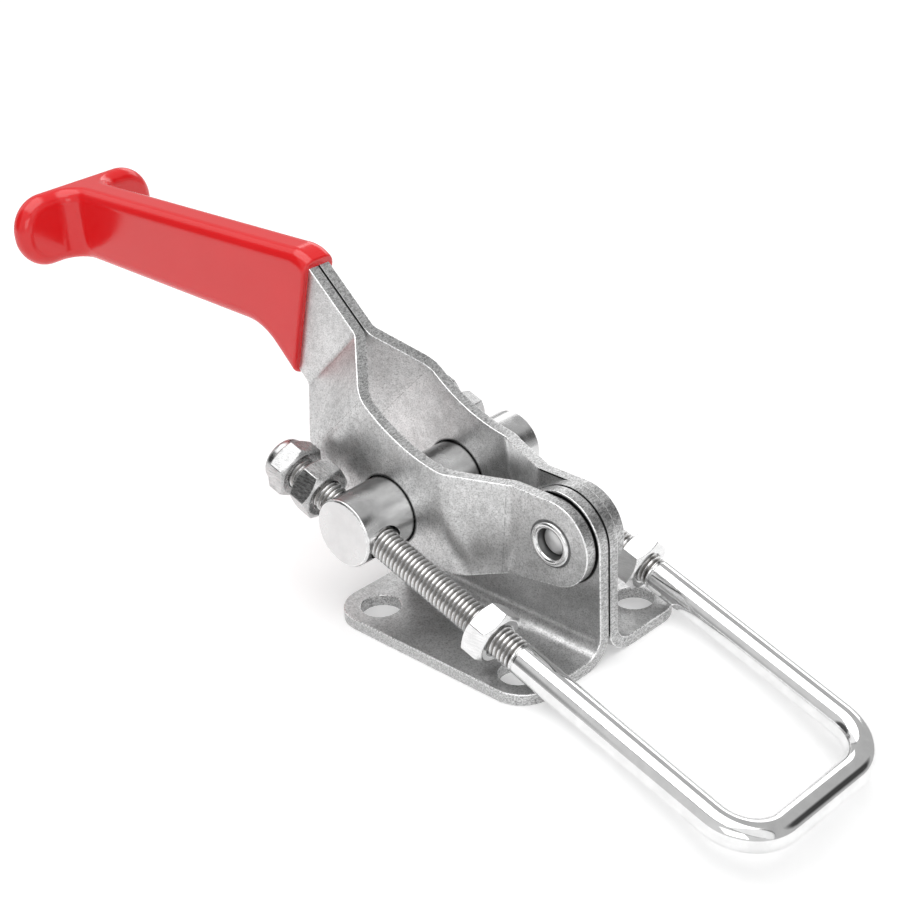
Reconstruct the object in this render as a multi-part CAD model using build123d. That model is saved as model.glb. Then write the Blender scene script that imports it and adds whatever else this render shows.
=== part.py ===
from build123d import *
from math import acos, atan2, cos, degrees, radians, sin, tan
import os

# Over centre toggle latch, shown clamped. +X is the pull, +Z is up, the base stands on z = 0,
# and y = 0 is the plane where its two plates meet. Sizes are millimetres and degrees.

# Base: two L-shaped plates, back to back
base_plate_t = 3.2
wall_gap = 0.2
base_length = 66.0
base_width = 60.0
base_corner = 9.0
base_bend = 4.8
hole_d = 10.0
hole_edge_x = 9.85
hole_edge_y = 8.65
ear_r = 12.1
ear_lean = 32.0
seat_clear = 0.3
seat_from = -25.0
seat_to = -115.0
rear_wall_z = 12.5
rear_wall_r = 6.0

# Pivot of the lever
pivot_z = 30.9
rivet_r = 4.8
rivet_rim_r = 5.75
rivet_rim_h = 0.9
rivet_hollow_r = 3.8
rivet_hollow_depth = 2.4
rivet_head_r = 7.0
rivet_head_h = 1.8
pin_clear = 0.08

# Trunnion, the cross pin that the legs of the hook pass through
trunnion_r = 8.8
trunnion_cover = 6.25
trunnion_chamfer = 0.45
leg_hole_clear = 1.5
throw = 47.2
throw_angle = 5.6

# Lever: two arms that spread round the trunnion
plate = 3.2
side_clear = 0.3
nut_clear = 4.65
arm_gap = 0.3
arm_end_r = 11.2
boss_wall = 4.7
arm_bend = 6.5
crest_angle = 42.0
crest_offset = 15.3
crest_r = 46.0
belly_angle = 45.0
belly_r = 16.0
fold_angle = 45.0
flare_at = 39.0
flare_run = 14.5
pinch_top_at = 18.0
pinch_top_run = 16.0
pinch_low_at = 24.0
pinch_low_run = 7.5
pinch_top_z = 16.0
pinch_low_z = -14.0

# Handle, measured from the trunnion
handle_end = 131.6
handle_low = 32.6
handle_high_end = 48.6
handle_high_mouth = 53.2
knuckle_r = 8.0
tab_reach = 20.3
tab_corner = 7.6
tab_bend = 2.5

# Dipped grip
coat = 1.8
coat_round = 3.3
coat_blend = 5.0
mouth_top = 33.0
mouth_lean = 14.0
mouth_round = 0.8

# Hook: a bent rod with two threaded legs
rod_d = 8.0
leg_pitch = 49.5
hook_reach = 126.4
hook_bend = 12.0
hook_tilt = 17.5
hook_yaw = 0.84
side_play = 1.7
leg_tail = 29.6
leg_chamfer = 0.8

# Nuts, placed along the legs from the trunnion's axis
nut_flats = 13.0
nut_height = 6.5
nut_face_in = 0.6
nut_slope = 30.0
thread_clear = 0.05
near_nut_at = 41.8
far_nut_at = 46.0
jam_back = 3.1
lock_back = 2.8
lock_height = 8.0
lock_hex = 5.6
lock_wall = 0.8
lock_lip = 0.6
lock_lip_in = 0.35
lock_round = 0.9
insert_wall = 1.1
insert_height = 1.9
near_nut_turn = -8.0
far_nut_turn = 4.0
jam_turn = 1.0
lock_turn = 35.0

# Derived places, written once
wall_out = wall_gap / 2 + base_plate_t
arm_in = wall_out + side_clear
hole_x = base_length / 2 - hole_edge_x
hole_y = base_width / 2 - hole_edge_y
pivot = (base_length / 2 - ear_r, pivot_z)
trunnion = (
    pivot[0] - throw * cos(radians(throw_angle)),
    pivot[1] - throw * sin(radians(throw_angle)),
)
rod_r = rod_d / 2
leg_y = leg_pitch / 2
insert_r = rod_r + insert_wall
nut_corner_r = nut_flats / 2 / cos(radians(30))
nut_face_r = nut_flats / 2 - nut_face_in
arm_spread = leg_y - nut_flats / 2 - nut_clear - plate
boss_r = trunnion_r + boss_wall


def polar(centre, radius, angle):
    """Point at an angle round a centre, in the side view."""
    return (
        centre[0] + radius * cos(radians(angle)),
        centre[1] + radius * sin(radians(angle)),
    )


def meet(p, p_angle, q, q_angle):
    """Crossing of two lines, each given by a point and an angle."""
    ux, uz = cos(radians(p_angle)), sin(radians(p_angle))
    vx, vz = cos(radians(q_angle)), sin(radians(q_angle))
    t = ((q[0] - p[0]) * vz - (q[1] - p[1]) * vx) / (ux * vz - uz * vx)
    return (p[0] + t * ux, p[1] + t * uz)


def side_solid(face, half):
    """Turns a side view, drawn in x and z, into a solid about y = 0."""
    return Rot(90, 0, 0) * extrude(face, half, both=True)


def flipped(solid):
    """The same piece on the other side of the centre plane."""
    return mirror(solid, about=Plane.XZ)


def sheet(points, bends, thickness):
    """Edge view of a bent plate whose inner face follows the points."""
    path = FilletPolyline(*points, radius=bends)
    return make_face(path.wire().offset_2d(thickness, side=Side.LEFT, closed=True))


def wall_outline():
    """Side view of one upright wall, with the seat that stops the trunnion."""
    front = base_length / 2
    seat_r = trunnion_r + seat_clear
    lean_from = polar(pivot, ear_r, 90 + ear_lean)
    seat_top = polar(trunnion, seat_r, seat_from)
    face = make_face(
        Polyline(
            (front, 0),
            (front, pivot[1]),
            pivot,
            lean_from,
            meet(lean_from, 180 + ear_lean, seat_top, seat_from),
            seat_top,
            polar(trunnion, seat_r, seat_to),
            (-front, rear_wall_z),
            (-front, 0),
            close=True,
        )
    )
    rear = face.vertices().sort_by_distance(Vector(-front, rear_wall_z, 0))[0]
    face = fillet(rear, rear_wall_r)
    face += Pos(*pivot) * Circle(ear_r)
    face -= Pos(*trunnion) * Circle(seat_r)
    face -= Pos(*pivot) * Circle(rivet_r + pin_clear)
    return face


def flange_outline():
    """Plan view of one base plate, rounded at its two free corners."""
    half = base_width / 2
    face = Pos(0, half / 2) * Rectangle(base_length, half)
    free = face.vertices().group_by(Axis.Y)[-1]
    return fillet(free, base_corner)


def base_plate():
    """Plate on the +Y side: a wall, a bend and a flange with two holes."""
    half = base_width / 2
    top = pivot[1] + 2 * ear_r
    inner = [(half, base_plate_t), (wall_out, base_plate_t), (wall_out, top)]
    edge = sheet(inner, base_bend, base_plate_t)
    bent = Plane.YZ * extrude(edge, base_length / 2, both=True)
    solid = bent & side_solid(wall_outline(), half) & extrude(flange_outline(), top)
    for x in (-hole_x, hole_x):
        solid -= Pos(x, hole_y, 0) * Cylinder(hole_d / 2, 4 * base_plate_t)
    return solid


def arm_outline():
    """Side view of a lever arm, from the handle's end to the pivot."""
    tx, tz = trunnion
    crest = polar(trunnion, crest_offset, 90 - crest_angle)
    knuckle = meet(crest, 180 - crest_angle, (tx, tz + handle_high_mouth), 0)
    flat_top = (pivot[0], pivot[1] + arm_end_r)
    dip = meet(crest, -crest_angle, flat_top, 0)
    span = degrees(acos((boss_r - arm_end_r) / throw))
    under = degrees(atan2(pivot[1] - tz, pivot[0] - tx)) - span
    boss_side = polar(trunnion, boss_r, 270 - belly_angle)
    belly = meet(boss_side, 180 - belly_angle, (tx, tz + handle_low), 0)
    end = tx - handle_end
    face = make_face(
        Polyline(
            (end, tz + handle_low),
            (end, tz + handle_high_end),
            knuckle,
            dip,
            flat_top,
            pivot,
            polar(pivot, arm_end_r, under),
            polar(trunnion, boss_r, under),
            trunnion,
            boss_side,
            belly,
            close=True,
        )
    )
    for corner, radius in ((knuckle, knuckle_r), (dip, crest_r), (belly, belly_r)):
        spot = face.vertices().sort_by_distance(Vector(*corner, 0))[0]
        face = fillet(spot, radius)
    face += Pos(*trunnion) * Circle(boss_r)
    face += Pos(*pivot) * Circle(arm_end_r)
    return face


def flare_plane(distance):
    """Plane square to the sloping arm, a distance before the trunnion."""
    ax, az = cos(radians(fold_angle)), -sin(radians(fold_angle))
    origin = (trunnion[0] - distance * ax, 0, trunnion[1] - distance * az)
    return Plane(origin, x_dir=(0, 1, 0), z_dir=(ax, 0, az))


def handle_sheet():
    """The flat of the handle and the tab bent out at its end."""
    end = trunnion[0] - handle_end
    points = [
        (end, tab_reach),
        (end, arm_gap / 2),
        (trunnion[0], arm_gap / 2),
    ]
    return extrude(sheet(points, tab_bend + plate, plate), 4 * handle_high_mouth)


def flare_sheet():
    """The ramp that opens the arm out to the trunnion."""
    points = [
        (-flare_at, arm_gap / 2),
        (0, arm_gap / 2),
        (flare_run, arm_spread),
        (flare_at + boss_r, arm_spread),
    ]
    cross = flare_plane(flare_at)
    view = Plane(cross.origin, x_dir=cross.z_dir, z_dir=(cross.z_dir.Z * -1, 0, cross.z_dir.X))
    return view * extrude(sheet(points, arm_bend, plate), 3 * crest_r, both=True)


def pinch_section(z):
    """Plan of the ramp that closes the arm in to the pivot, at one height."""
    share = (z - pinch_low_z) / (pinch_top_z - pinch_low_z)
    at = trunnion[0] + pinch_low_at + share * (pinch_top_at - pinch_low_at)
    run = pinch_low_run + share * (pinch_top_run - pinch_low_run)
    points = [
        (trunnion[0] - boss_r, arm_spread),
        (at, arm_spread),
        (at + run, arm_in),
        (pivot[0] + 2 * arm_end_r, arm_in),
    ]
    return Pos(0, 0, trunnion[1] + z) * sheet(points, arm_bend, plate)


def pinch_sheet():
    """The ramp in front of the trunnion, steeper at the bottom edge."""
    return loft([pinch_section(-boss_r - plate), pinch_section(2 * boss_r)], ruled=True)


def tab_tips(solid, row):
    """Edges along the thickness of a cross tab, at its first or last end."""
    ends = solid.edges().group_by(Axis.Y)[row]
    return [edge for edge in ends if abs(edge.tangent_at(0.5).Z) < 0.5]


def lever_arm():
    """Arm on the +Y side, cut from three stretches of the same bent plate."""
    body = side_solid(arm_outline(), tab_reach)
    start = flare_plane(flare_at + arm_bend)
    middle = Plane((trunnion[0], 0, 0), z_dir=(1, 0, 0))
    rear = split(body, start, Keep.BOTTOM) & handle_sheet()
    front = split(split(body, start, Keep.TOP), middle, Keep.TOP) & pinch_sheet()
    flare = split(split(body, start, Keep.TOP), middle, Keep.BOTTOM) & flare_sheet()
    solid = fillet(tab_tips(rear, -1), tab_corner) + flare + front
    for spot, radius in ((trunnion, trunnion_r), (pivot, rivet_r)):
        hole = Circle(radius + pin_clear)
        solid -= side_solid(Pos(*spot) * hole, tab_reach)
    return solid


def grip_plan():
    """Plan view of the grip: a stem and a cross bar with blended corners."""
    half = arm_gap / 2 + plate + coat
    end = trunnion[0] - handle_end - coat
    bar = plate + 2 * coat
    stem = Pos((end + trunnion[0]) / 2, 0) * Rectangle(trunnion[0] - end, 2 * half)
    face = stem + Pos(end + bar / 2, 0) * Rectangle(bar, 2 * (tab_reach + coat))
    spots = [Vector(end + bar, y, 0) for y in (-half, half)]
    inner = [face.vertices().sort_by_distance(spot)[0] for spot in spots]
    return fillet(inner, coat_blend)


def grip_outline():
    """Side view of the grip, cut off along its mouth."""
    face = offset(arm_outline(), coat, kind=Kind.INTERSECTION)
    mouth = (trunnion[0] - mouth_top, trunnion[1] + handle_high_mouth)
    low = polar(mouth, 2 * crest_r, 270 - mouth_lean)
    far = trunnion[0] - handle_end - 2 * coat
    high = mouth[1] + 2 * coat
    keep = Polyline((far, high), (mouth[0], high), mouth, low, (far, low[1]), close=True)
    return face & make_face(keep)


def sharp_edges(solid):
    """Edges where two faces meet at an angle."""
    found = []
    for edge in solid.edges():
        spot = edge.position_at(0.5)
        normals = [f.normal_at(spot) for f in solid.faces() if edge in f.edges()]
        if len(normals) == 2 and normals[0].dot(normals[1]) < 0.9:
            found.append(edge)
    return found


def grip(arms):
    """Dipped grip, hollow where both arms run inside it."""
    reach = tab_reach + coat
    blank = extrude(grip_plan(), 4 * handle_high_mouth) & side_solid(grip_outline(), reach)
    tips = tab_tips(blank, 0) + tab_tips(blank, -1)
    blank = fillet(tips, tab_corner + coat)
    out = Vector(cos(radians(mouth_lean)), 0, -sin(radians(mouth_lean)))
    mouth = max(blank.faces(), key=lambda f: f.normal_at().dot(out))
    blank = fillet([e for e in sharp_edges(blank) if e not in mouth.edges()], coat_round)
    mouth = max(blank.faces(), key=lambda f: f.normal_at().dot(out))
    blank = fillet(mouth.edges(), mouth_round)
    blank -= side_solid(arm_outline(), arm_gap / 2)
    for arm in arms:
        blank -= arm
    return blank


def rivet():
    """Hollow-ended rivet: a head on the far arm, a rolled rim on the near arm."""
    face = arm_in + plate
    shank = Cylinder(rivet_r, 2 * face)
    head = Pos(0, 0, -face) * extrude(Circle(rivet_head_r), -rivet_head_h)
    head = chamfer(head.edges().group_by(Axis.Z)[0], rivet_head_h / 2)
    rim = Pos(0, 0, face) * extrude(Circle(rivet_rim_r), rivet_rim_h)
    rim = chamfer(rim.edges().group_by(Axis.Z)[-1], rivet_rim_h / 2)
    hollow = Pos(0, 0, face + rivet_rim_h) * Cylinder(rivet_hollow_r, 2 * rivet_hollow_depth)
    solid = shank + head + rim - hollow
    solid = chamfer(solid.edges().group_by(Axis.Z)[-1], rivet_rim_h / 3)
    return Pos(pivot[0], 0, pivot[1]) * Rot(90, 0, 0) * solid


def trunnion_pin():
    """Cross pin with a clearance hole near each end for a leg."""
    pin = Cylinder(trunnion_r, leg_pitch + 2 * trunnion_cover)
    rims = pin.edges().group_by(Axis.Z)
    pin = chamfer(rims[0] + rims[-1], trunnion_chamfer)
    pin = Rot(90, 0, 0) * pin
    bore = Rot(0, 90, 0) * Cylinder(rod_r + leg_hole_clear / 2, 4 * trunnion_r)
    for y in (-leg_y, leg_y):
        pin -= Pos(0, y, 0) * bore
    return Pos(trunnion[0], side_play, trunnion[1]) * Rot(0, hook_tilt, 0) * pin


# Hook, drawn flat along +X and then laid in the trunnion
hook_place = Location(
    (trunnion[0], side_play, trunnion[1]), (0, hook_tilt, -hook_yaw)
)


def hook_rod():
    """Bent rod with two legs."""
    path = FilletPolyline(
        (-leg_tail, -leg_y), (hook_reach, -leg_y), (hook_reach, leg_y), (-leg_tail, leg_y),
        radius=hook_bend,
    )
    start = Plane((-leg_tail, -leg_y, 0), z_dir=(1, 0, 0))
    rod = sweep(start * Circle(rod_r), path=path)
    tips = rod.edges().group_by(Axis.X)[0]
    return hook_place * chamfer(tips, leg_chamfer)


def hex_blank(height):
    """Hexagon prism whose corners are turned off at both ends."""
    drop = (nut_corner_r - nut_face_r) * tan(radians(nut_slope))
    turned = Polyline(
        (0, 0),
        (nut_face_r, 0),
        (nut_corner_r, drop),
        (nut_corner_r, height - drop),
        (nut_face_r, height),
        (0, height),
        close=True,
    )
    blank = extrude(RegularPolygon(nut_corner_r, 6), height)
    return blank & revolve(Plane.XZ * make_face(turned), Axis.Z)


def along_leg(solid, y, at, turn):
    """Stands a nut on a leg, with its axis along the leg."""
    return hook_place * Pos(at, y, 0) * Rot(0, 90, 0) * Rot(0, 0, turn) * solid


def plain_nut():
    """Hexagon nut; its thread is left as a plain bore."""
    bore = Cylinder(rod_r + thread_clear, 3 * nut_height)
    return hex_blank(nut_height) - bore


def lock_nut():
    """Lock nut with a collar rolled over its insert, standing on its flat face."""
    solid = hex_blank(lock_hex)
    collar = Circle(insert_r + lock_wall)
    shoulder = Pos(0, 0, lock_hex) * extrude(collar, lock_height - lock_hex)
    shoulder = chamfer(shoulder.edges().group_by(Axis.Z)[-1], lock_round)
    solid += shoulder
    solid -= Cylinder(rod_r + thread_clear, 3 * lock_height)
    top = lock_height - lock_lip
    solid -= Pos(0, 0, top - insert_height) * extrude(Circle(insert_r), insert_height)
    solid -= Pos(0, 0, top) * extrude(Circle(insert_r - lock_lip_in), lock_height)
    return solid


def insert_ring():
    """Ring that sits in the lock nut's collar and grips the thread."""
    ring = Circle(insert_r) - Circle(rod_r + thread_clear)
    return Pos(0, 0, lock_height - lock_lip - insert_height) * extrude(ring, insert_height)


def save(name, solid):
    """Writes one node's file."""
    solid.label = name
    export_step(solid, "parts/" + name + ".step")


def main():
    os.makedirs("parts", exist_ok=True)
    left = base_plate()
    save("base_plate_far", left)
    save("base_plate_near", flipped(left))
    arm = lever_arm()
    save("lever_arm_far", arm)
    save("lever_arm_near", flipped(arm))
    save("grip", grip((arm, flipped(arm))))
    save("pivot_rivet", rivet())
    save("trunnion", trunnion_pin())
    save("hook_rod", hook_rod())
    jam_at = -trunnion_r - jam_back - nut_height
    lock_at = jam_at - lock_back
    for side, y, front_at, front_turn in (
        ("near", -leg_y, near_nut_at, near_nut_turn),
        ("far", leg_y, far_nut_at, far_nut_turn),
    ):
        save("front_nut_" + side, along_leg(plain_nut(), y, front_at, front_turn))
        save("jam_nut_" + side, along_leg(plain_nut(), y, jam_at, jam_turn))
        back = Rot(180, 0, 0)
        save("lock_nut_" + side, along_leg(back * lock_nut(), y, lock_at, lock_turn))
        save("insert_" + side, along_leg(back * insert_ring(), y, lock_at, lock_turn))


main()
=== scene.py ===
from math import cos, pi, radians, sin, tan

import bmesh
import bpy
from mathutils import Matrix, Vector

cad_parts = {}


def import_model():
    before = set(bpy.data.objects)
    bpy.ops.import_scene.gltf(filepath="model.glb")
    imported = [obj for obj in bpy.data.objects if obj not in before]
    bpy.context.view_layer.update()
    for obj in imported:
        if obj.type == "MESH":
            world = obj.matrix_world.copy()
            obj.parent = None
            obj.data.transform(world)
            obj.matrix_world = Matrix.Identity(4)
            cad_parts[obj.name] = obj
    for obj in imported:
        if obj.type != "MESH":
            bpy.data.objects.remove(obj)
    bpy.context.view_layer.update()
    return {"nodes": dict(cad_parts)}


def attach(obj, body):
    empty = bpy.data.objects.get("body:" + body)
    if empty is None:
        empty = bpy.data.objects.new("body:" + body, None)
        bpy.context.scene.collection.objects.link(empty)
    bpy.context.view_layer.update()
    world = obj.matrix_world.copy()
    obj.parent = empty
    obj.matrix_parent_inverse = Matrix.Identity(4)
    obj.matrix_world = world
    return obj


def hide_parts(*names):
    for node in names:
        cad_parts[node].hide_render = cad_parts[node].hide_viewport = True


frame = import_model()
nodes = frame["nodes"]
scene = bpy.context.scene

# Sizes repeated from the solids, in millimetres and degrees
TRUNNION = Vector((-26.0747, 1.7, 26.2941))
PIVOT = Vector((20.9, 0, 30.9))
HOOK_TILT = 17.5
HOOK_YAW = 0.84
ROD_R = 4.0
LEG_Y = 24.75
HOOK_REACH = 126.4
HOOK_BEND = 12.0
LEG_TAIL = 29.6
THREAD_END = 56.0
PITCH = 1.25
ROOT_R = 3.2
NUT_FLATS = 13.0
NUT_H = 6.5
NUT_FACE_R = 5.9
NUT_SLOPE = 30
BORE_R = 4.03
MOUTH_R = 4.45
LOCK_H = 8.0
LOCK_HEX = 5.6
ARM_FACE = 6.8
FOLD_ANGLE = 45
FLARE_AT = 39.0
FLARE_RUN = 14.5
PINCH_END = (34.0, 31.5)
RIM_R = 4.85
HOLLOW_R = 4.0
HOLLOW_FLOOR_R = 3.4
JAM_AT = -18.4
LOCK_AT = JAM_AT - 2.8

# Each nut's turns in the photograph, and the front nuts' places along the legs
NUTS = (
    # side, leg, front nut at, turn of front, jam and lock nut
    ("near", -LEG_Y, 41.8, -8, 30, 6),
    ("far", LEG_Y, 46.0, 46, 24, 32),
)

# Rounding of broken edges in millimetres, and the fold from which an edge counts as one
SHEET_EDGE = 0.28
PIN_EDGE = 0.12
NUT_EDGE = 0.16
SHEET_EDGE_ANGLE = 32
NUT_EDGE_ANGLE = 18

# Points round the rod
RING = 48

HOOK = (
    Matrix.Translation(TRUNNION)
    @ Matrix.Rotation(radians(HOOK_TILT), 4, "Y")
    @ Matrix.Rotation(radians(-HOOK_YAW), 4, "Z")
)
TO_M = Matrix.Scale(0.001, 4)


# Meshes
def build(name, verts, faces, place=Matrix.Identity(4), smooth=35, weld=1e-4):
    """Makes an object from millimetre vertices, placed in the row frame."""
    mesh = bpy.data.meshes.new(name)
    mesh.from_pydata([tuple(v) for v in verts], [], faces)
    bm = bmesh.new()
    bm.from_mesh(mesh)
    bmesh.ops.remove_doubles(bm, verts=bm.verts, dist=weld)
    bmesh.ops.dissolve_degenerate(bm, edges=bm.edges, dist=weld / 10)
    bmesh.ops.recalc_face_normals(bm, faces=bm.faces)
    bm.to_mesh(mesh)
    bm.free()
    mesh.transform(TO_M @ place)
    mesh.set_sharp_from_angle(angle=radians(smooth))
    obj = bpy.data.objects.new(name, mesh)
    scene.collection.objects.link(obj)
    return obj


def grid_faces(rows, count, start=0):
    """Quads between rings of vertices, each ring closed on itself."""
    faces = []
    for i in range(rows - 1):
        for j in range(count):
            k = (j + 1) % count
            a = start + i * count
            faces.append((a + j, a + k, a + count + k, a + count + j))
    return faces


def closing_faces(rows, count):
    """Quads that join the last ring to the first."""
    last = (rows - 1) * count
    return [(last + j, last + (j + 1) % count, (j + 1) % count, j) for j in range(count)]


def rings(profile, count):
    """Turned body about the Z axis from (radius, height) points."""
    verts = []
    for r, z in profile:
        for j in range(count):
            angle = 2 * pi * j / count
            verts.append((r * cos(angle), r * sin(angle), z))
    return verts, grid_faces(len(profile), count)


def finished(obj):
    """Bakes an object's modifiers into its mesh."""
    graph = bpy.context.evaluated_depsgraph_get()
    mesh = bpy.data.meshes.new_from_object(obj.evaluated_get(graph), depsgraph=graph)
    obj.modifiers.clear()
    obj.data = mesh
    return obj


def break_edges(obj, width, angle, slot=-1):
    """Rounds the sharp edges by a width in millimetres, with one material slot for them."""
    bevel = obj.modifiers.new("Broken_edges", "BEVEL")
    bevel.width = width / 1000
    bevel.segments = 2
    bevel.limit_method = "ANGLE"
    bevel.angle_limit = radians(angle)
    bevel.use_clamp_overlap = False
    bevel.material = slot
    normals = obj.modifiers.new("Flat_faces", "WEIGHTED_NORMAL")
    normals.keep_sharp = True
    for polygon in obj.data.polygons:
        polygon.use_smooth = True
    return finished(obj)


def refined(name, node, width, cut=None):
    """Copy of a solid's mesh with real edge breaks, and its sawn faces marked."""
    source = nodes[node]
    bm = bmesh.new()
    bm.from_mesh(source.data)
    bm.transform(source.matrix_world)
    bmesh.ops.remove_doubles(bm, verts=bm.verts, dist=2e-6)
    bmesh.ops.dissolve_limit(bm, angle_limit=radians(0.4), verts=bm.verts, edges=bm.edges)
    bm.normal_update()
    for face in bm.faces:
        face.material_index = int(bool(cut and cut(face.calc_center_median() * 1000, face.normal)))
    mesh = bpy.data.meshes.new(name)
    bm.to_mesh(mesh)
    bm.free()
    obj = bpy.data.objects.new(name, mesh)
    scene.collection.objects.link(obj)
    for _ in range(3):
        mesh.materials.append(None)
    return break_edges(obj, width, SHEET_EDGE_ANGLE, 2)


def arm_cut(centre, normal):
    """Sheared faces of an arm stand square to its side view."""
    return abs(normal.y) < 0.05 and centre.x > -140


def base_cut(centre, normal):
    """Sheared faces of a base plate: wall outline, flange rim and holes."""
    rim = centre.z < 3.3 and abs(normal.z) < 0.05
    return rim or abs(normal.x) > 0.05 or (centre.z > 5 and abs(normal.y) < 0.05)


# Hook
# One turn of the thread as (way along the axis, radius), crest first
THREAD = (
    (-0.12, 3.9), (-0.06, 4.0), (0.06, 4.0), (0.12, 3.9),
    (0.53, ROOT_R), (0.625, ROOT_R - 0.03), (0.72, ROOT_R),
)


def thread_leg(y):
    """Threaded leg of the hook, one helical ridge from the tail to the run-out."""
    verts = []
    turns = int((LEG_TAIL + THREAD_END) / PITCH) + 3
    for k in range(turns):
        for offset, r in THREAD:
            for j in range(RING):
                share = j / RING
                s = -LEG_TAIL - PITCH + PITCH * (k + share) + offset
                s = min(max(s, -LEG_TAIL), THREAD_END)
                tail_chamfer = ROOT_R + (s + LEG_TAIL)
                run_out = min(max((s - THREAD_END + 1.6 * PITCH) / (1.3 * PITCH), 0), 1)
                q = min(r, tail_chamfer)
                q += (ROD_R - q) * run_out
                verts.append((s, y + q * cos(2 * pi * share), q * sin(2 * pi * share)))
    rows = turns * len(THREAD)
    seam = (len(THREAD) - 1) * RING + 1
    faces = []
    for i in range(rows - 1):
        for j in range(RING):
            a = i * RING + j
            b = a + (1 if j < RING - 1 else seam)
            if b + RING < rows * RING:
                faces.append((a, b, b + RING, a + RING))
    middle = len(verts)
    verts.append((-LEG_TAIL, y, 0))
    faces += [(j, (j + 1) % RING, middle) for j in range(RING)]
    return verts, faces


def rod_path():
    """Centre points and headings of the plain rod between the two threads."""
    steps = 14
    path = [(THREAD_END, -LEG_Y, 0.0)]
    for centre_y, start in ((-LEG_Y + HOOK_BEND, 0), (LEG_Y - HOOK_BEND, 90)):
        for i in range(steps + 1):
            turn = radians(start + 90 * i / steps)
            x = HOOK_REACH - HOOK_BEND + HOOK_BEND * sin(turn)
            path.append((x, centre_y - HOOK_BEND * cos(turn), turn))
    path.append((THREAD_END, LEG_Y, pi))
    return path


def hook_rod():
    """Both threaded legs and the plain bent bar, with the thread's depth kept for its material."""
    thread_depth = 0.8
    verts, faces = [], []
    for y in (-LEG_Y, LEG_Y):
        v, f = thread_leg(y)
        base = len(verts)
        verts += v
        faces += [tuple(base + i for i in face) for face in f]
    base = len(verts)
    path = rod_path()
    for x, y, turn in path:
        for j in range(RING):
            a = 2 * pi * j / RING
            across = ROD_R * cos(a)
            verts.append((x - across * sin(turn), y + across * cos(turn), ROD_R * sin(a)))
    faces += grid_faces(len(path), RING, base)
    obj = build("Threaded_hook_rod", verts, faces, smooth=50, weld=2e-3)
    mesh = obj.data
    depth = mesh.attributes.new("depth", "FLOAT", "POINT")
    for i, vert in enumerate(mesh.vertices):
        x, y, z = vert.co * 1000
        cut = ROD_R - ((abs(y) - LEG_Y) ** 2 + z * z) ** 0.5
        inside = -LEG_TAIL + 0.1 < x < THREAD_END
        depth.data[i].value = min(max(cut / thread_depth, 0), 1) if inside else 0.0
    for polygon in mesh.polygons:
        polygon.material_index = int(polygon.center.x * 1000 < THREAD_END)
    mesh.transform(TO_M @ HOOK @ TO_M.inverted())
    return obj


# Nuts
def hex_radius(r, angle):
    """Radius on the hexagon where r is 0, otherwise r itself."""
    if r:
        return r
    part = angle % radians(60) - radians(30)
    return NUT_FLATS / 2 / cos(part)


def nut_rings(profile, count=96):
    """Nut body: in each (radius, height, sign) point radius 0 means the hexagon."""
    verts = []
    for r, z, sign in profile:
        for j in range(count):
            angle = 2 * pi * j / count
            q = hex_radius(r, angle)
            drop = (q - NUT_FACE_R) * tan(radians(NUT_SLOPE)) if sign else 0
            verts.append((q * cos(angle), q * sin(angle), z + sign * drop))
    return verts, grid_faces(len(profile), count) + closing_faces(len(profile), count)


def along_leg(y, at, turn, back=False):
    """Place of a nut on a leg, with its axis along the leg."""
    spin = Matrix.Rotation(radians(turn), 4, "Z")
    flip = Matrix.Rotation(pi, 4, "X") if back else Matrix.Identity(4)
    stand = Matrix.Rotation(radians(90), 4, "Y")
    return HOOK @ Matrix.Translation((at, y, 0)) @ stand @ spin @ flip


def plain_nut(name, y, at, turn):
    profile = (
        (BORE_R, 0.75, 0), (BORE_R, 0.42, 0), (MOUTH_R, 0.0, 0), (NUT_FACE_R, 0.0, 0),
        (0, 0.0, 1), (0, NUT_H, -1),
        (NUT_FACE_R, NUT_H, 0), (MOUTH_R, NUT_H, 0),
        (BORE_R, NUT_H - 0.42, 0), (BORE_R, NUT_H - 0.75, 0),
    )
    nut = build(name, *nut_rings(profile), along_leg(y, at, turn), smooth=20)
    return break_edges(nut, NUT_EDGE, NUT_EDGE_ANGLE)


def lock_nut(name, y, at, turn):
    """Hexagon with a domed collar, hollow at its end for the nylon ring."""
    profile = [
        (BORE_R, 5.4, 0), (BORE_R, 0.42, 0), (MOUTH_R, 0.0, 0), (NUT_FACE_R, 0.0, 0),
        (0, 0.0, 1), (0, LOCK_HEX, -1), (NUT_FACE_R, LOCK_HEX, 0),
    ]
    r, c = 1.5, LOCK_H - 1.5
    for i in range(7):
        a = radians(90 * i / 6)
        profile.append((NUT_FACE_R - r + r * cos(a), c + r * sin(a), 0))
    profile += [(4.9, LOCK_H - 0.25, 0), (4.8, LOCK_H - 0.7, 0), (4.8, 5.5, 0)]
    nut = build(name, *nut_rings(profile), along_leg(y, at, turn, True), smooth=20)
    return break_edges(nut, NUT_EDGE, NUT_EDGE_ANGLE)


def insert_ring(name, y, at, turn):
    profile = (
        (BORE_R, 5.5), (BORE_R, 7.0), (4.2, 7.25), (4.6, 7.4),
        (4.95, 7.3), (5.1, 7.1), (5.1, 5.5),
    )
    count = 64
    verts, faces = rings(profile, count)
    faces += closing_faces(len(profile), count)
    return build(name, verts, faces, along_leg(y, at, turn, True))


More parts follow.
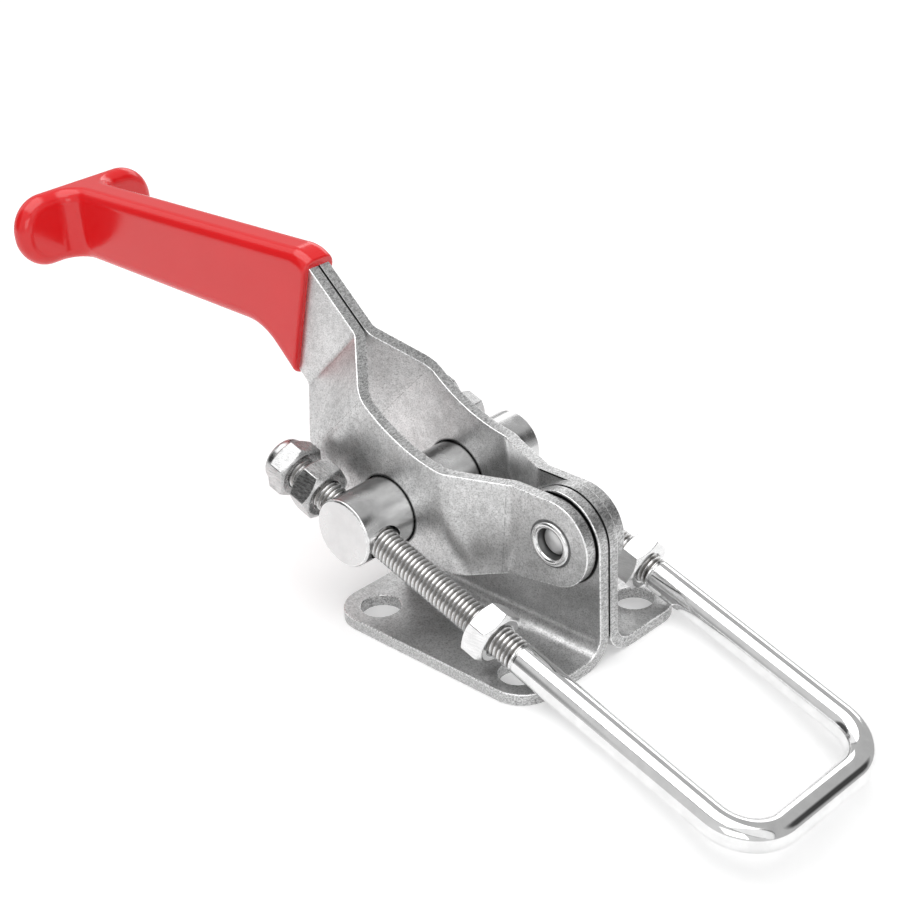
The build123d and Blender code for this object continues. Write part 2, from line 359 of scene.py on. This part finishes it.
# Rivet
def pivot_rivet():
    """Rolled rim round a deep hollow, whose wall and floor have materials of their own: painted
    shade on the wall, painted light on the floor.
    """
    profile = [
        (0.001, 5.3), (3.1, 5.25), (3.45, 5.0), (3.6, 4.7),
        (3.8, 4.7), (3.88, 5.5), (3.95, 6.9),
    ]
    for i in range(9):
        a = radians(180 - 22.5 * i)
        profile.append((RIM_R + 0.86 * cos(a), 6.95 + 0.73 * sin(a)))
    profile += [(5.7, ARM_FACE), (4.8, ARM_FACE), (4.8, -ARM_FACE), (7.0, -ARM_FACE), (7.0, -7.6)]
    for i in range(1, 6):
        a = radians(90 * i / 5)
        profile.append((6.1 + 0.9 * cos(a), -7.7 - 0.9 * sin(a)))
    profile.append((0.001, -8.6))
    verts, faces = rings(profile, 72)
    place = Matrix.Translation(PIVOT) @ Matrix.Rotation(radians(90), 4, "X")
    obj = build("Hollow_pivot_rivet", verts, faces, place)
    for polygon in obj.data.polygons:
        x, y, z = polygon.center * 1000
        r = ((x - PIVOT.x) ** 2 + (z - PIVOT.z) ** 2) ** 0.5
        # The hollow's wall takes painted shade, and its floor painted light.
        if -7.0 < y < 0 and r < HOLLOW_R:
            polygon.material_index = 1 if r > HOLLOW_FLOOR_R else 2
    return obj


# Materials
class Graph:
    """Adds nodes to one node tree."""

    def __init__(self, tree):
        self.tree = tree

    def node(self, kind, inputs=None, **props):
        node = self.tree.nodes.new(kind)
        for key, value in props.items():
            setattr(node, key, value)
        for key, value in (inputs or {}).items():
            self.put(node.inputs[key], value)
        return node

    def put(self, socket, value):
        if isinstance(value, bpy.types.NodeSocket):
            self.tree.links.new(value, socket)
        else:
            socket.default_value = value

    def ramp(self, value, low, high, out_low=0.0, out_high=1.0):
        return self.node("ShaderNodeMapRange", {
            "Value": value, "From Min": low, "From Max": high,
            "To Min": out_low, "To Max": out_high,
        }).outputs[0]

    def math(self, kind, a, b=0.0):
        return self.node("ShaderNodeMath", {0: a, 1: b}, operation=kind).outputs[0]

    def highest(self, values):
        total = values[0]
        for value in values[1:]:
            total = self.math("MAXIMUM", total, value)
        return total

    def background_rays(self):
        """One for the rays that see the background: camera, glossy and transmission rays."""
        path = self.node("ShaderNodeLightPath").outputs
        kinds = ("Is Camera Ray", "Is Glossy Ray", "Is Transmission Ray")
        return self.highest([path[kind] for kind in kinds])


class Shade(Graph):
    """One material on the Principled shader, its textures in object space."""

    def __init__(self, name):
        self.mat = bpy.data.materials.new(name)
        self.mat.use_nodes = True
        super().__init__(self.mat.node_tree)
        self.bsdf = self.tree.nodes["Principled BSDF"]
        self.coord = self.tree.nodes.new("ShaderNodeTexCoord")

    def noise(self, scale, detail=3.0, rough=0.5, stretch=(1, 1, 1), turn=(0, 0, 0)):
        """Noise whose grain is one millimetre wide at scale 1000."""
        mapping = self.node("ShaderNodeMapping", {
            "Vector": self.coord.outputs["Object"], "Scale": stretch, "Rotation": turn,
        })
        return self.node("ShaderNodeTexNoise", {
            "Vector": mapping.outputs[0], "Scale": scale, "Detail": detail, "Roughness": rough,
        }).outputs[0]

    def mix(self, factor, a, b):
        node = self.node("ShaderNodeMix", data_type="RGBA")
        self.put(node.inputs[0], factor)
        self.put(node.inputs[6], a)
        self.put(node.inputs[7], b)
        return node.outputs[2]

    def bump(self, height, strength, distance, normal=None):
        inputs = {"Height": height, "Strength": strength, "Distance": distance}
        if normal is not None:
            inputs["Normal"] = normal
        return self.node("ShaderNodeBump", inputs).outputs[0]

    def near(self, value, at, half):
        """One where a value is close to a number, falling to nothing at twice the distance."""
        away = self.math("ABSOLUTE", self.math("SUBTRACT", value, at))
        return self.ramp(away, half, 2 * half, 1.0, 0.0)

    def place(self):
        """Object coordinates as three values in millimetres."""
        parts = self.node("ShaderNodeSeparateXYZ", {"Vector": self.coord.outputs["Object"]})
        return [self.math("MULTIPLY", parts.outputs[i], 1000.0) for i in range(3)]

    def ring(self, spot, radius, half):
        """One on a circle round a pin's axis, in the side view."""
        x, _, z = self.place()
        across = self.math("SUBTRACT", x, spot.x)
        above = self.math("SUBTRACT", z, spot.z)
        square = self.math(
            "ADD", self.math("MULTIPLY", across, across), self.math("MULTIPLY", above, above)
        )
        return self.near(self.math("SQRT", square), radius, half)

    def shadow_line(self):
        """Painted shadow on a wall, along the rim of the arm that lies on it."""
        return self.ring(PIVOT, 11.25, 0.3)

    def arm_corner_shade(self):
        """Painted shade in the corners of an arm where a pin or a wall leaves it."""
        x, y, _ = self.place()
        wall = self.near(self.math("ABSOLUTE", y), 3.6, 0.22)
        front = self.ramp(x, 2.0, 8.0)
        return self.highest([self.ring(TRUNNION, 8.95, 0.35), self.ring(PIVOT, 4.95, 0.4),
                             self.math("MULTIPLY", wall, front)])

    def arm_painted_shade(self):
        """Painted shade: dark rings round the two pins of an arm, and dark lines along its folds.
        """
        x, _, z = self.place()
        breaks = self.math("MULTIPLY", self.ramp(self.noise(1300, 3, 0.6), 0.40, 0.60), 0.45)
        shaded_lines = [self.math("MULTIPLY", self.ring(TRUNNION, 9.1, 0.25), 0.7),
                 self.math("MULTIPLY", self.ring(PIVOT, 5.85, 0.25), 0.8)]
        turn = radians(FOLD_ANGLE)
        level = self.math("MULTIPLY", self.math("SUBTRACT", x, TRUNNION.x), cos(turn))
        rise = self.math("MULTIPLY", self.math("SUBTRACT", z, TRUNNION.z), sin(turn))
        along = self.math("SUBTRACT", level, rise)
        for at in (-FLARE_AT, FLARE_RUN - FLARE_AT):
            shaded_lines.append(self.math("MULTIPLY", self.near(along, at, 0.08), breaks))
        share = self.ramp(z, TRUNNION.z - 14, TRUNNION.z + 16, PINCH_END[1], PINCH_END[0])
        ahead = self.math("SUBTRACT", self.math("SUBTRACT", x, TRUNNION.x), share)
        shaded_lines.append(self.math("MULTIPLY", self.near(ahead, 0, 0.08), breaks))
        return self.highest(shaded_lines)

    def end(self, **inputs):
        for key, value in inputs.items():
            self.put(self.bsdf.inputs[key.replace("_", " ")], value)
        return self.mat


def grey(value):
    return (value, value, value, 1)


def rolled_sheet(name, arm):
    """Rolled sheet: speckled grain with painted glints, faint rolling lines, painted shade round
    the pins and along the folds.
    """
    m = Shade(name)
    patch = m.noise(80, 3, 0.5)
    mottle = m.noise(620, 4, 0.6)
    grain = m.noise(2700, 2, 0.6)
    lines = m.noise(1500, 2, 0.5, stretch=(0.03, 1, 1), turn=(0, radians(-40), 0))
    tone = m.math("ADD", m.math("MULTIPLY", patch, 0.5), m.math("MULTIPLY", mottle, 0.5))
    color = m.mix(m.ramp(tone, 0.36, 0.64), grey(0.50), grey(0.76))
    pits = m.math("MULTIPLY", m.ramp(grain, 0.50, 0.34), 0.5)
    color = m.mix(pits, color, grey(0.18))
    # Painted glints: bright specks mixed into the colour.
    glints = m.math("MULTIPLY", m.ramp(grain, 0.58, 0.72), 0.4)
    color = m.mix(glints, color, grey(0.9))
    # Painted shade round the pins and along an arm's folds; on the base, a painted shadow along
    # the arm's rim.
    color = m.mix(m.arm_painted_shade() if arm else m.shadow_line(), color, grey(0.05))
    rough = m.ramp(grain, 0.35, 0.65, 0.44, 0.32)
    normal = m.bump(mottle, 0.3, 0.00008)
    normal = m.bump(grain, 0.45, 0.00004, normal)
    normal = m.bump(lines, 0.15, 0.00004, normal)
    return m.end(Base_Color=color, Metallic=1.0, Roughness=rough, Normal=normal)


def sheared_edge():
    """Sheared rim of the sheet: streaks across it, dark pits and a dark joint between plates."""
    m = Shade("Sheared_sheet_edge")
    streak = m.noise(2400, 2, 0.5, stretch=(1, 0.4, 1))
    pits = m.noise(3600, 2, 0.6)
    tone = m.math("ADD", m.math("MULTIPLY", streak, 0.45), m.math("MULTIPLY", pits, 0.55))
    color = m.mix(m.ramp(tone, 0.40, 0.58), grey(0.26), grey(0.66))
    color = m.mix(m.near(m.place()[1], 0, 0.22), color, grey(0.02))
    normal = m.bump(streak, 0.25, 0.00004)
    normal = m.bump(pits, 0.4, 0.00004, normal)
    return m.end(Base_Color=color, Metallic=1.0, Roughness=0.36, Normal=normal)


def burnished_edge(name, arm):
    """Bright line that tumbling leaves along the sheet's corners, dark where two pieces meet, and
    on an arm painted shade where a pin or the wall leaves it.
    """
    m = Shade(name)
    fine = m.noise(1700, 2, 0.6)
    color = m.mix(m.ramp(fine, 0.35, 0.6), grey(0.58), grey(0.95))
    joint = m.near(m.place()[1], 0, 0.26)
    # On an arm the joint mask also carries painted shade round the pins and along the wall.
    if arm:
        joint = m.math("MAXIMUM", joint, m.arm_corner_shade())
    color = m.mix(joint, color, grey(0.015))
    return m.end(Base_Color=color, Metallic=1.0, Roughness=m.ramp(fine, 0.3, 0.7, 0.2, 0.36))


def bright_steel(name, tone, rough, fine_bump=0.15):
    """Plated bar: bright, with faint streaks."""
    m = Shade(name)
    patch = m.noise(220, 3, 0.55)
    fine = m.noise(2600, 2, 0.6)
    color = m.mix(m.ramp(patch, 0.35, 0.68), grey(tone * 0.9), grey(tone))
    value = m.ramp(patch, 0.3, 0.7, rough * 0.75, rough * 1.35)
    normal = m.bump(fine, fine_bump, 0.00002)
    return m.end(Base_Color=color, Metallic=1.0, Roughness=value, Normal=normal)


def thread_steel(name):
    """Cut thread: bright crests and roots with painted shade, read from the depth kept in the
    mesh.
    """
    m = Shade(name)
    depth = m.node("ShaderNodeAttribute", attribute_name="depth").outputs["Fac"]
    fine = m.noise(2200, 3, 0.6)
    base = m.mix(m.ramp(fine, 0.35, 0.65), grey(0.66), grey(0.86))
    # Painted shade: the colour darkens towards the roots.
    color = m.mix(m.ramp(depth, 0.15, 0.7), base, (0.26, 0.25, 0.24, 1))
    rough = m.ramp(depth, 0.0, 0.7, 0.16, 0.35)
    normal = m.bump(fine, 0.15, 0.00002)
    return m.end(Base_Color=color, Metallic=1.0, Roughness=rough, Normal=normal)


def nut_steel(name, low, high, rough):
    """Hexagon bar: fine drawing lines along the flats."""
    m = Shade(name)
    drawn = m.noise(3200, 3, 0.6, stretch=(0.12, 1, 1), turn=(0, radians(HOOK_TILT), 0))
    patch = m.noise(300, 3, 0.6)
    tone = m.math("ADD", m.math("MULTIPLY", drawn, 0.6), m.math("MULTIPLY", patch, 0.4))
    color = m.mix(m.ramp(tone, 0.38, 0.62), grey(low), grey(high))
    value = m.ramp(tone, 0.35, 0.65, rough, rough * 1.7)
    normal = m.bump(drawn, 0.25, 0.00002)
    return m.end(Base_Color=color, Metallic=1.0, Roughness=value, Normal=normal)


def vinyl():
    """Dipped vinyl: deep even red, glossy, with the faintest waviness."""
    m = Shade("Dipped_red_vinyl")
    soft = m.noise(25, 2, 0.5)
    fine = m.noise(1400, 2, 0.5)
    color = m.mix(m.ramp(soft, 0.3, 0.7), (0.76, 0.010, 0.012, 1), (0.82, 0.014, 0.018, 1))
    rough = m.ramp(fine, 0.3, 0.7, 0.14, 0.19)
    normal = m.bump(soft, 0.15, 0.0005)
    return m.end(
        Base_Color=color, Roughness=rough, Normal=normal, Specular_IOR_Level=0.6,
        Subsurface_Weight=0.05, Subsurface_Radius=(0.003, 0.0005, 0.0004),
    )


def nylon():
    m = Shade("Blue_nylon_ring")
    fine = m.noise(1500, 3, 0.5)
    color = m.mix(m.ramp(fine, 0.3, 0.7), (0.03, 0.10, 0.34, 1), (0.05, 0.15, 0.44, 1))
    return m.end(Base_Color=color, Roughness=0.38, Normal=m.bump(fine, 0.15, 0.00003))


def dress(obj, materials, body=None, replaced=()):
    """Gives a piece its materials and ties it to the frame."""
    slots = obj.data.materials
    for i, material in enumerate(materials):
        if i < len(slots):
            slots[i] = material
        else:
            slots.append(material)
    if body:
        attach(obj, body)
        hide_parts(*replaced)


arm_steel = rolled_sheet("Rolled_arm_sheet", True)
base_steel = rolled_sheet("Rolled_base_sheet", False)
sheared = sheared_edge()
burnished = burnished_edge("Burnished_edge", False)
arm_burnished_shaded = burnished_edge("Burnished_arm_edge_painted_shade", True)
bar = bright_steel("Bright_plated_bar", 0.86, 0.08)
pin_steel = bright_steel("Brushed_pin_steel", 0.7, 0.22, 0.5)
rivet_steel = bright_steel("Rolled_rivet_steel", 0.78, 0.2, 0.3)
# Painted shade for the wall of the rivet's hollow.
hollow_painted_shade = bright_steel("Rivet_hollow_painted_shade", 0.22, 0.4, 0.4)
# Painted light: the hollow's floor is made lighter to make up for the little light it gets.
seat_painted_light = bright_steel("Satin_rivet_floor_painted_light", 0.9, 0.5, 0.3)
thread = thread_steel("Cut_thread_steel")
front_steel = nut_steel("Bright_nut_steel", 0.72, 0.88, 0.14)
# A darker copy of the nut steel, for the jam and lock nuts.
back_steel = nut_steel("Darker_nut_steel", 0.34, 0.62, 0.2)

for side in ("far", "near"):
    arm = refined(f"Folded_arm_{side}", f"lever_arm_{side}", SHEET_EDGE, arm_cut)
    dress(arm, [arm_steel, sheared, arm_burnished_shaded], "lever", [f"lever_arm_{side}"])
    plate = refined(f"Bent_base_plate_{side}", f"base_plate_{side}", SHEET_EDGE, base_cut)
    dress(plate, [base_steel, sheared, burnished], "base", [f"base_plate_{side}"])
pin = refined("Cross_bored_trunnion", "trunnion", PIN_EDGE)
dress(pin, [pin_steel, pin_steel, burnished], "trunnion", ["trunnion"])
dress(nodes["grip"], [vinyl()])

dress(hook_rod(), [bar, thread], "hook", ["hook_rod"])
rivet_steels = [rivet_steel, hollow_painted_shade, seat_painted_light]
dress(pivot_rivet(), rivet_steels, "lever", ["pivot_rivet"])

blue = nylon()
for side, y, front_at, front_turn, jam_turn, lock_turn in NUTS:
    for kind, at, turn, steel in (
        ("front", front_at, front_turn, front_steel), ("jam", JAM_AT, jam_turn, back_steel),
    ):
        nut = plain_nut(f"Hexagon_{kind}_nut_{side}", y, at, turn)
        dress(nut, [steel], "hook", [f"{kind}_nut_{side}"])
    nut = lock_nut(f"Lock_nut_{side}", y, LOCK_AT, lock_turn)
    dress(nut, [back_steel], "hook", [f"lock_nut_{side}"])
    ring = insert_ring(f"Nylon_ring_{side}", y, LOCK_AT, lock_turn)
    dress(ring, [blue], "hook", [f"insert_{side}"])


# Floor: level under the base, then a soft fall to clear the hook's end
FLOOR_HALF = 900
FALL_START = 34
FALL_RUN = 70
FALL_DROP = 24.0
FLOOR_GLOW = 0.28


def floor():
    steps = 24
    xs = [-FLOOR_HALF, -60, 30]
    xs += [FALL_START + FALL_RUN * i / steps for i in range(steps + 1)]
    xs += [140, FLOOR_HALF]
    verts = []
    for x in xs:
        t = min(max((x - FALL_START) / FALL_RUN, 0), 1)
        z = -FALL_DROP * (3 * t * t - 2 * t * t * t) - 0.05
        verts += [(x, y, z) for y in (-FLOOR_HALF, FLOOR_HALF)]
    faces = [(a, a + 2, a + 3, a + 1) for a in range(0, 2 * len(xs) - 2, 2)]
    obj = build("Floor", verts, faces, smooth=180)
    m = Shade("White_floor")
    glow = m.math("MULTIPLY", m.background_rays(), FLOOR_GLOW)
    obj.data.materials.append(m.end(
        Base_Color=(0.9, 0.9, 0.9, 1), Roughness=1.0, Specular_IOR_Level=0.0,
        Emission_Color=(1, 1, 1, 1), Emission_Strength=glow,
    ))


floor()


# World and lights
SKY = 0.45
PANEL_EDGES = (-33, 20)
FRONT_TONE = 0.72
BACK_TONE = 0.52
SEAM_TONE = 0.15
FLAG_TONE = 0.12
# Dark flags seen by gloss: direction, and where each ends and starts to fade, in degrees
FLAGS = (
    ((-0.62, -0.70, 0.34), 27, 19),
    ((0.60, 0.668, 0.40), 18, 9),
)


def world():
    """White tent for gloss alone: an overhead panel with dark seams, pale front and grey back."""
    studio = bpy.data.worlds.new("Studio")
    scene.world = studio
    studio.use_nodes = True
    g = Graph(studio.node_tree)
    g.tree.nodes.clear()
    way = g.node("ShaderNodeTexCoord").outputs["Generated"]
    parts = g.node("ShaderNodeSeparateXYZ", {"Vector": way}).outputs
    lean = g.math("ARCTAN2", parts[1], parts[2])
    front, back = PANEL_EDGES
    tone = g.math("MULTIPLY", g.ramp(lean, radians(back - 1), radians(back + 2), 1.0, BACK_TONE),
                  g.ramp(lean, radians(front - 1), radians(front + 1), FRONT_TONE, 1.0))
    for edge in PANEL_EDGES:
        away = g.math("ABSOLUTE", g.math("SUBTRACT", lean, radians(edge)))
        tone = g.math("MULTIPLY", tone, g.ramp(away, radians(0.9), radians(1.9), SEAM_TONE, 1.0))
    for flag, outer, inner in FLAGS:
        aim = Vector(flag).normalized()
        facing = g.node("ShaderNodeVectorMath", {0: way, 1: aim}, operation="DOT_PRODUCT")
        facing = facing.outputs["Value"]
        shade = g.ramp(facing, cos(radians(outer)), cos(radians(inner)), 1.0, FLAG_TONE)
        tone = g.math("MULTIPLY", tone, shade)
    seen = g.background_rays()
    camera_ray = g.node("ShaderNodeLightPath").outputs["Is Camera Ray"]
    gloss = g.math("MULTIPLY", seen, g.math("MAXIMUM", tone, camera_ray))
    diffuse = g.math("MULTIPLY", g.math("SUBTRACT", 1.0, seen), SKY)
    strength = g.math("ADD", gloss, diffuse)
    light = g.node("ShaderNodeBackground", {"Color": (1, 1, 1, 1), "Strength": strength})
    g.node("ShaderNodeOutputWorld", {"Surface": light.outputs[0]})


def lamp(name, at, aim, size, power):
    data = bpy.data.lights.new(name, "AREA")
    data.shape = "RECTANGLE"
    data.size, data.size_y = size
    data.energy = power
    obj = bpy.data.objects.new(name, data)
    scene.collection.objects.link(obj)
    obj.location = at
    obj.rotation_euler = (Vector(aim) - Vector(at)).to_track_quat("-Z", "Y").to_euler()


world()
lamp("Key", (-0.05, -0.1, 0.8), (-0.05, -0.1, 0), (1.1, 0.8), 4.6)
lamp("Fill", (0.55, -0.6, 0.3), (0, 0, 0.02), (0.5, 0.4), 1.0)
lamp("Back", (-0.3, 0.7, 0.4), (0, 0, 0.03), (0.8, 0.3), 1.2)


# Camera, fitted to the photograph's outlines in its pixels
IMAGE_SIZE = 900
FOCAL_LENGTH = 1922.834
IMAGE_CENTRE = (565.512, 604.138)
SENSOR = 36
CAMERA_RIGHT = Vector((0.755828, 0.654588, -0.015452))
CAMERA_UP = Vector((-0.340502, 0.413103, 0.844632))
CAMERA_PLACE = Vector((0.278972, -0.294094, 0.258820))


def camera():
    data = bpy.data.cameras.new("Camera")
    data.sensor_width = SENSOR
    data.lens = FOCAL_LENGTH * SENSOR / IMAGE_SIZE
    data.shift_x = (IMAGE_SIZE / 2 - IMAGE_CENTRE[0]) / IMAGE_SIZE
    data.shift_y = (IMAGE_CENTRE[1] - IMAGE_SIZE / 2) / IMAGE_SIZE
    data.clip_start = 0.01
    obj = bpy.data.objects.new("Camera", data)
    scene.collection.objects.link(obj)
    back = CAMERA_RIGHT.cross(CAMERA_UP)
    place = Matrix((CAMERA_RIGHT, CAMERA_UP, back)).transposed().to_4x4()
    place.translation = CAMERA_PLACE
    obj.matrix_world = place
    scene.camera = obj


camera()
scene.view_settings.view_transform = "Standard"

bpy.context.view_layer.update()
